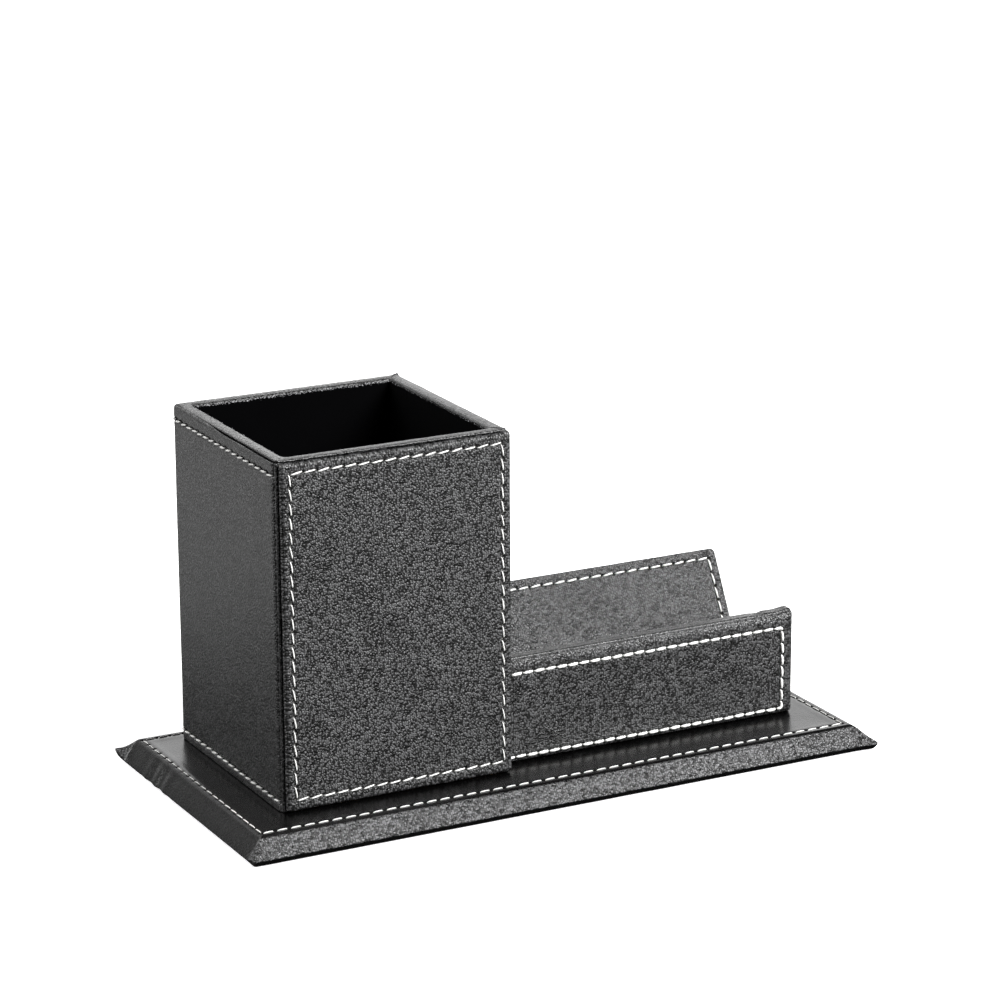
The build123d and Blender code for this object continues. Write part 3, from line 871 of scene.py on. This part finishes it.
def on_wrap(flat, height):
    """Points on the wrap's outer face: flat is (length round the cup, height above the table)."""
    probe = 0.15

    def plan(far):
        """Place on the cup's plan so far round it."""
        return np.stack([np.interp(far, wrap_far, way) for way in wrap_route.T])

    x, y = plan(flat[:, 0])
    dx, dy = plan(flat[:, 0] + probe) - plan(flat[:, 0] - probe)
    size = np.hypot(dx, dy)
    return np.stack([x - dy / size * height, y + dx / size * height, flat[:, 1]], -1)


top_seam = wrap_high[2] - seam_drop
foot_seam = deck + seam_rise
seam_start = flat_start - 1.4
top_route = [(seam_start, top_seam), (wrap_length - seam_start, top_seam)]
foot_route = [(seam_start, foot_seam), (wrap_length - seam_start, foot_seam)]
top_stitches = divide(top_route, wrap_pitch)
foot_stitches = divide(foot_route, wrap_pitch)
wrap_along = [wrap_far[:end_points]]
for start, end in zip(wrap_far[end_points - 1:-end_points], wrap_far[end_points:-end_points + 1]):
    wrap_along.append(mesh_lines(start, end, holes=top_stitches[1:, 0, 0])[1:])
wrap_along = np.concatenate(wrap_along + [wrap_far[-end_points + 1:]])
end_gap = np.minimum(wrap_along, wrap_length - wrap_along)
rear = np.clip((end_gap - flat_start - rear_start) / rear_ease, 0, 1)
rear = rear * rear * (3 - 2 * rear)
thick = wrap_thick * np.clip(end_gap / end_reach, end_thin, 1)

# Each row of the wrap is a height, a way inward, and a share of the way over its folded edge.
wrap_rows = []
for turn in bends:
    wrap_rows.append((deck + 0.05 + foot_turn * (1 - math.cos(turn)), foot_turn * (1 - math.sin(turn)), 0))
for height in mesh_lines(deck + 0.45, wrap_top - fold_start, (top_seam, foot_seam), step=1.6):
    wrap_rows.append((height, 0.0, 0))
for share in (0.25, 0.5, 0.75, 1.0):
    wrap_rows.append((wrap_top - fold_start + (fold_start - fold_turn) * share, 0.0, share * 0.6))
for turn in bends[1:]:
    height = wrap_top - fold_turn * (1 - math.sin(turn))
    wrap_rows.append((height, fold_turn * (1 - math.cos(turn)), 0.6 + 0.4 * math.sin(turn)))


def wrap_grid():
    """The wrap as a closed strip: up its outer face, over its folded top edge and down inside."""
    points, flats = [], []
    for height, inward, share in wrap_rows:
        flat = np.column_stack([wrap_along, height + share * (rear_lift * rear - front_sink)])
        draw = rear * share ** 2 * rear_draw
        points.append(on_wrap(flat, -np.minimum(inward + draw, thick * 0.9)))
        flats.append(flat)
    for height in (wrap_top - 0.9, deck + 0.4):
        flat = np.column_stack([wrap_along, np.full(len(wrap_along), height)])
        points.append(on_wrap(flat, -thick))
        flats.append(flat + (0, 200))
    return np.array(points + points[:1]), np.array(flats + flats[:1])


def wrap_relief(flats, points):
    """Slow waves, soft upright hollows below the top edge, and the two seams."""
    relief = waves(flats, height=0.07, length=26, seed=8) + waves(flats, height=0.03, length=9, seed=9)
    relief += 0.05 * np.sin(flats[:, 0] * 0.32 + 0.6) * bell(flats[:, 1] - wrap_top, 34)
    for route, stitches in ((top_route, top_stitches), (foot_route, foot_stitches)):
        relief += drawn_in(flats, route, stitches, groove=0.14, pit=0.9, hole=0.62)
    ends = np.minimum(flats[:, 0], wrap_length - flats[:, 0])
    return relief * np.clip((ends - flat_start + 1.8) / 2, 0, 1) * (flats[:, 1] < 150)


wrap = make_piece("wrap_leather", [wrap_grid()], wrap_relief)
finish(wrap, leather("leather_wrap", 73.0, depth=0.45), "black_leather", "cup_wrap_leather")
wrap_stitches = np.concatenate([top_stitches, foot_stitches])
sew(
    "wrap_stitches", "cup_wrap_thread", wrap_stitches, on_wrap,
    thickness=0.60, slant=-0.26, seed=22, show=0.86,
)

# Cup front panel: leather rolled over a greyboard stiffener, sewn all round, then glued to the
# cup's front. The roll stretches the grain across the top edge.
panel_low, panel_high = span("cup_panel_leather")
panel_proud = (-0.45, 0.1, 0.9, -0.30)
panel_area = (
    panel_low[0] - panel_proud[0], panel_low[2] - panel_proud[1],
    panel_high[0] + panel_proud[2], panel_high[2] + panel_proud[3],
)
panel_depth = panel_high[1] - panel_low[1]
panel_face = front_face(panel_low[1])
panel_peak_rise, panel_peak_width = 0.7, 1.4
top_sag, sag_place, sag_width = 0.15, -42, 19


def panel_section(depth, shoulder, tilt, stretch):
    """A panel's edge: flat, a shoulder that tilts back, a nose of stretched grain, and a turn behind."""
    nose, border, turn_behind = 0.9, 1.0, 0.8
    nose_length = nose * math.radians(90 - tilt)
    moves = [(border, 0), (shoulder, tilt), (nose_length, 90 - tilt), (0.3, 0), (0.3, 90), (turn_behind, 0)]
    section = edge_section(moves, 0.22, stretch)
    section[:, 1] *= depth / section[-1, 1]
    return section


panel_route = inner_route((panel_low[0], panel_low[2], panel_high[0], panel_high[2]), (3.0, 3.4, 2.0, 3.0))
panel_stitches = divide(panel_route, stitch_pitch)


def sewn_relief(route, stitches, length, seed, groove=0.10):
    """The relief of a sewn face: slow waves of about one length, and the seam."""
    def relief(flats, points):
        """How far the face stands out."""
        return waves(flats, 0.05, length, seed) + drawn_in(flats, route, stitches, groove)
    return relief


def panel_peak(points):
    """The top right corner, where the leather is folded, stands up a little, and the top edge sags."""
    moved = np.zeros_like(points)
    fold_inset, top_band, top_ease = 0.4, 5, 4
    far = np.hypot(points[:, 0] - panel_high[0] + fold_inset, points[:, 2] - panel_high[2])
    upper = np.clip((points[:, 2] - panel_high[2] + top_band) / top_ease, 0, 1)
    moved[:, 2] = panel_peak_rise * bell(far, panel_peak_width)
    moved[:, 2] -= top_sag * upper * bell(points[:, 0] - sag_place, sag_width)
    return moved


panel_edge = panel_section(panel_depth, shoulder=0.9, tilt=25, stretch=1.7)
panel_sheet = rolled_sheet(panel_area, panel_edge, 0.9, panel_route, panel_stitches)
panel_relief = sewn_relief(panel_route, panel_stitches, length=21, seed=12)
panel = make_piece("panel_leather", lay(panel_sheet, *panel_face), panel_relief, panel_peak)
finish(panel, leather("leather_panel", 5.0), "black_leather", "cup_panel_leather")
sew(
    "panel_stitches", "cup_panel_thread", panel_stitches, on_plane(*panel_face),
    thickness=0.52, slant=0.26, seed=23, show=0.82,
)

# Lip: an upright board covered on all its free faces in thin leather and glued to the cup's side.
# The corner at its free end is folded, with a tuck in the top edge beside it.
lip_low, lip_high = span("lip_leather")
lip_depth = lip_high[1] - lip_low[1]
lip_area = (lip_low[0], lip_low[2], lip_high[0] + 1.5, lip_high[2] + 0.3)
tuck_place, tuck_depth, tuck_width = 9.5, 0.28, 1.3
swell_place, swell_height, swell_width = 6.5, 0.12, 1.6


def covered(area, depth, roll, corner, route=((0, 0),), stitches=np.zeros((0, 1, 2))):
    """Patches of both faces of a covered board; its front face is at 0 and its back at -depth."""
    border = 1.2
    section = edge_section([(border, 0), (roll * math.pi / 2, 90), (depth / 2 - roll, 0)])
    front = rolled_sheet(area, section, corner, route, stitches)
    back = [(points * (1, 1, -1) + (0, 0, -depth), flats + (0, 400)) for points, flats in front]
    return front + back


def lip_relief(flats, points):
    """Slow waves, and a tuck in the top edge near the free end."""
    relief = waves(points[:, [0, 2]], height=0.03, length=22, seed=15)
    top = np.clip((points[:, 2] - lip_high[2] + 1.5) / 1.5, 0, 1)
    from_end = points[:, 0] - lip_high[0]
    relief -= top * tuck_depth * bell(from_end + tuck_place, tuck_width)
    relief += top * swell_height * bell(from_end + swell_place, swell_width)
    return relief


def stand_up(points, x, z, rise, width):
    """Points near a folded corner moved up a little."""
    moved = np.zeros_like(points)
    moved[:, 2] = rise * bell(np.hypot(points[:, 0] - x, points[:, 2] - z), width)
    return moved


lip = make_piece(
    "lip_leather",
    lay(covered(lip_area, lip_depth, roll=0.8, corner=0.8), *front_face(lip_low[1])),
    lip_relief,
    lambda points: stand_up(points, lip_high[0] + 1.0, lip_high[2], rise=0.45, width=3.0),
)
finish(lip, leather("leather_lip", 91.0, depth=0.42), "black_leather", "lip_leather")

# Lip front panel: leather over a greyboard stiffener, made like the cup's panel and glued to the lip,
# with a thicker thread that runs round its corners.
lip_panel_low, lip_panel_high = span("lip_panel_leather")
lip_panel_area = (lip_panel_low[0], lip_panel_low[2], lip_panel_high[0] + 1.7, lip_panel_high[2] + 0.2)
lip_panel_depth = lip_panel_high[1] - lip_panel_low[1]
lip_panel_face = front_face(lip_panel_low[1])
lip_insets = (0.9, 1.7, 4.0, 4.0)
lip_bend = 1.0
lip_pitch = 3.7


def rounded_route(route, radius, steps=5):
    """A closed route with its corners rounded."""
    corners = [np.array(corner, float) for corner in route[:-1]]
    points = []
    for i, corner in enumerate(corners):
        before = corners[i - 1] - corner
        after = corners[(i + 1) % len(corners)] - corner
        start = corner + before / np.linalg.norm(before) * radius
        end = corner + after / np.linalg.norm(after) * radius
        for share in np.linspace(0, 1, steps):
            points.append((1 - share) ** 2 * start + 2 * share * (1 - share) * corner + share ** 2 * end)
    return [tuple(point) for point in points + points[:1]]


lip_route = rounded_route(inner_route(lip_panel_area, lip_insets), lip_bend)
lip_stitches = divide(lip_route, lip_pitch, through=True)
lip_panel_edge = panel_section(lip_panel_depth, shoulder=2.0, tilt=30, stretch=1.2)
lip_panel = make_piece(
    "lip_panel_leather",
    lay(rolled_sheet(lip_panel_area, lip_panel_edge, 0.8, lip_route, lip_stitches), *lip_panel_face),
    sewn_relief(lip_route, lip_stitches, length=19, seed=17, groove=0.14),
    lambda points: stand_up(points, lip_panel_area[2] - 0.5, lip_panel_area[3], rise=0.6, width=2.0),
)
finish(lip_panel, leather("leather_lip_panel", 113.0, depth=0.8), "black_leather", "lip_panel_leather")
sew(
    "lip_panel_stitches", "lip_panel_thread", lip_stitches, on_plane(*lip_panel_face),
    thickness=0.94, slant=0.10, seed=24, show=0.86,
)

# Backrest: a leaning board behind the slot, covered in leather like the lip and sewn round its front
# face. Its foot stands on the deck.
rest_low, rest_high = span("backrest_leather")
rest_lean = math.radians(28)
rest_thick = 4.0
rest_rise = 40.0
rest_inset = 3.0
rest_reach = rest_rise / math.cos(rest_lean)
rest_foot = rest_high[1] - rest_thick * math.cos(rest_lean) - rest_reach * math.sin(rest_lean)
rest_out = (0, -math.cos(rest_lean), math.sin(rest_lean))
rest_up = (0, math.sin(rest_lean), math.cos(rest_lean))
rest_face = ((rest_low[0], rest_foot, deck), (1, 0, 0), rest_up, rest_out)
rest_length = rest_high[0] - rest_low[0]
rest_area = (0, -3.0, rest_length, rest_reach)
rest_route = inner_route((0, 0, rest_length, rest_reach), [rest_inset] * 4)
rest_stitches = divide(rest_route, stitch_pitch)


def stand_on_deck(points):
    """Cuts the backrest level with the deck."""
    moved = np.zeros_like(points)
    moved[:, 2] = np.clip(deck - points[:, 2], 0, None)
    return moved


rest_sheets = covered(rest_area, rest_thick, roll=0.8, corner=1.6, route=rest_route, stitches=rest_stitches)
rest_relief = sewn_relief(rest_route, rest_stitches, length=16, seed=19)
rest = make_piece("backrest_leather", lay(rest_sheets, *rest_face), rest_relief, stand_on_deck)
finish(rest, leather("leather_backrest", 131.0), "black_leather", "backrest_leather")
sew(
    "backrest_stitches", "backrest_thread", rest_stitches, on_plane(*rest_face),
    thickness=0.60, slant=0.16, seed=25,
)

# Lining: black velvet on stiff backing, one piece for each wall and one for the floor, glued in. The
# cut top edges of the walls show their paler backing and fray a little under the rim.
pile_dark, pile_light = (0.0003, 0.0003, 0.0004, 1), (0.0014, 0.0014, 0.0017, 1)
backing_tone = (0.34, 0.34, 0.35, 1)
velvet, tree, shader = surface(
    "velvet", Roughness=0.95, Sheen_Weight=0.015, Sheen_Roughness=0.45, Specular_IOR_Level=0.02,
)
place = add(tree, "TexCoord").outputs["Object"]
pile = noise(tree, place, 1600.0, 4.0, Roughness=0.8)
nap = noise(tree, place, 70.0, 2.0, Distortion=0.8)
mixed = mix(tree, 0.4, pile, nap, "FLOAT")
length = add(tree, "SeparateXYZ", {"Vector": add(tree, "UVMap", uv_map="flat").outputs["UV"]}).outputs["Y"]
frayed = ramp(tree, calc(tree, "MULTIPLY_ADD", pile, 3.0, length), 1.38, 1.60)
edge = calc(tree, "MULTIPLY", frayed, calc(tree, "LESS_THAN", length, 0.05))
tone = mix(tree, edge, mix(tree, mixed, pile_dark, pile_light), backing_tone)
coat(tree, shader, tone, mixed, 0.0002, 0.6)


def wall_sheet(name, node, side, reach, dusk, seed):
    """Velvet on one wall: up its back, over the frayed cut edge and down its pile.

    side points to the cup's middle, reach is the height of the cut edge and dusk how little of its
    pale backing shows. Each row is a share of the way to its pile, a height and how loose it is.
    """
    low, high = span(node)
    chance = np.random.default_rng(seed)
    across = 0 if side[0] else 1
    back, face = (low, high) if side[across] > 0 else (high, low)
    lines = np.linspace(low[1 - across], high[1 - across], 220)
    fray = chance.normal(0, 0.10, len(lines)) + 0.10 * np.sin(lines * 0.7 + seed)
    loose = chance.normal(0, 0.07, len(lines))
    rows = [(0.0, low[2], 0.0), (0.0, reach - 1.2, 0.0), (0.10, reach - 0.12, 1.0)]
    rows += [(0.5, reach - 0.05, 1.0), (0.90, reach, 1.0), (1.0, reach - 0.25, 0.7)]
    rows += [(1.0, z, 0.0) for z in np.linspace(reach - 0.9, low[2], 30)]
    rows += rows[:1]
    points, flats = [], []
    for share, z, loosened in rows:
        grid = np.empty((len(lines), 3))
        grid[:, across] = back[across] + (face[across] - back[across]) * share + loose * loosened
        grid[:, 1 - across] = lines
        grid[:, 2] = z + fray * loosened
        points.append(grid)
        flats.append(np.column_stack([lines, np.full(len(lines), z - reach - dusk if share > 0.8 else 1.0)]))
    return make_piece(name, [(np.array(points), np.array(flats))])


walls = {
    "left": ((1, 0), 0.8, 0.2),
    "right": ((-1, 0), 0.6, 0.5),
    "front": ((0, 1), 0.9, 0.2),
    "back": ((0, -1), 0.4, 0.0),
}
for seed, (wall, (side, below, dusk)) in enumerate(walls.items(), 40):
    sheet = wall_sheet(f"{wall}_lining", f"cup_{wall}_lining", side, rim_top - below, dusk, seed)
    finish(sheet, velvet, "black_velvet", f"cup_{wall}_lining")

floor_low, floor_high = span("cup_floor_lining")
floor_area = (*floor_low[:2], *floor_high[:2])
floor_lining = make_piece(
    "floor_lining",
    lay(covered(floor_area, floor_high[2] - floor_low[2], roll=0.3, corner=0.8), *level_face(floor_high[2])),
    lambda flats, points: waves(points[:, :2], height=0.04, length=12, seed=44),
)
finish(floor_lining, velvet, "black_velvet", "cup_floor_lining")

# Felt: a sheet of black pressed wool, cut out and glued under the plate. Its face is of short matted
# fibres and its edge is a little uneven.
felt, tree, shader = surface("felt", Roughness=0.95, Sheen_Weight=0.35, Sheen_Roughness=0.5)
place = add(tree, "TexCoord").outputs["Object"]
matted = noise(tree, place, 900.0, 8.0, Roughness=0.8, Distortion=1.5)
clumps = noise(tree, place, 120.0, 3.0)
tone = mix(tree, matted, (0.006, 0.006, 0.007, 1), (0.05, 0.05, 0.052, 1))
coat(tree, shader, tone, calc(tree, "ADD", matted, clumps), 0.0003, 0.7)

felt_low, felt_high = span("base_felt")
felt_area = (*felt_low[:2], *felt_high[:2])
edge_band, felt_underside = 0.4, 0.1


def felt_relief(flats, points):
    """The cut edge wanders a little, and both faces stay flat."""
    inset = np.min(felt_high[:2] - np.abs(points[:, :2]), axis=1)
    edge = (inset < edge_band) & (points[:, 2] > felt_underside)
    return edge * waves(points[:, :2], height=0.12, length=5, seed=61)


felt_sheet = make_piece(
    "felt_sheet",
    lay(covered(felt_area, felt_high[2] - felt_low[2], roll=0.15, corner=1.0), *level_face(felt_high[2])),
    felt_relief,
)
finish(felt_sheet, felt, "black_felt", "base_felt")
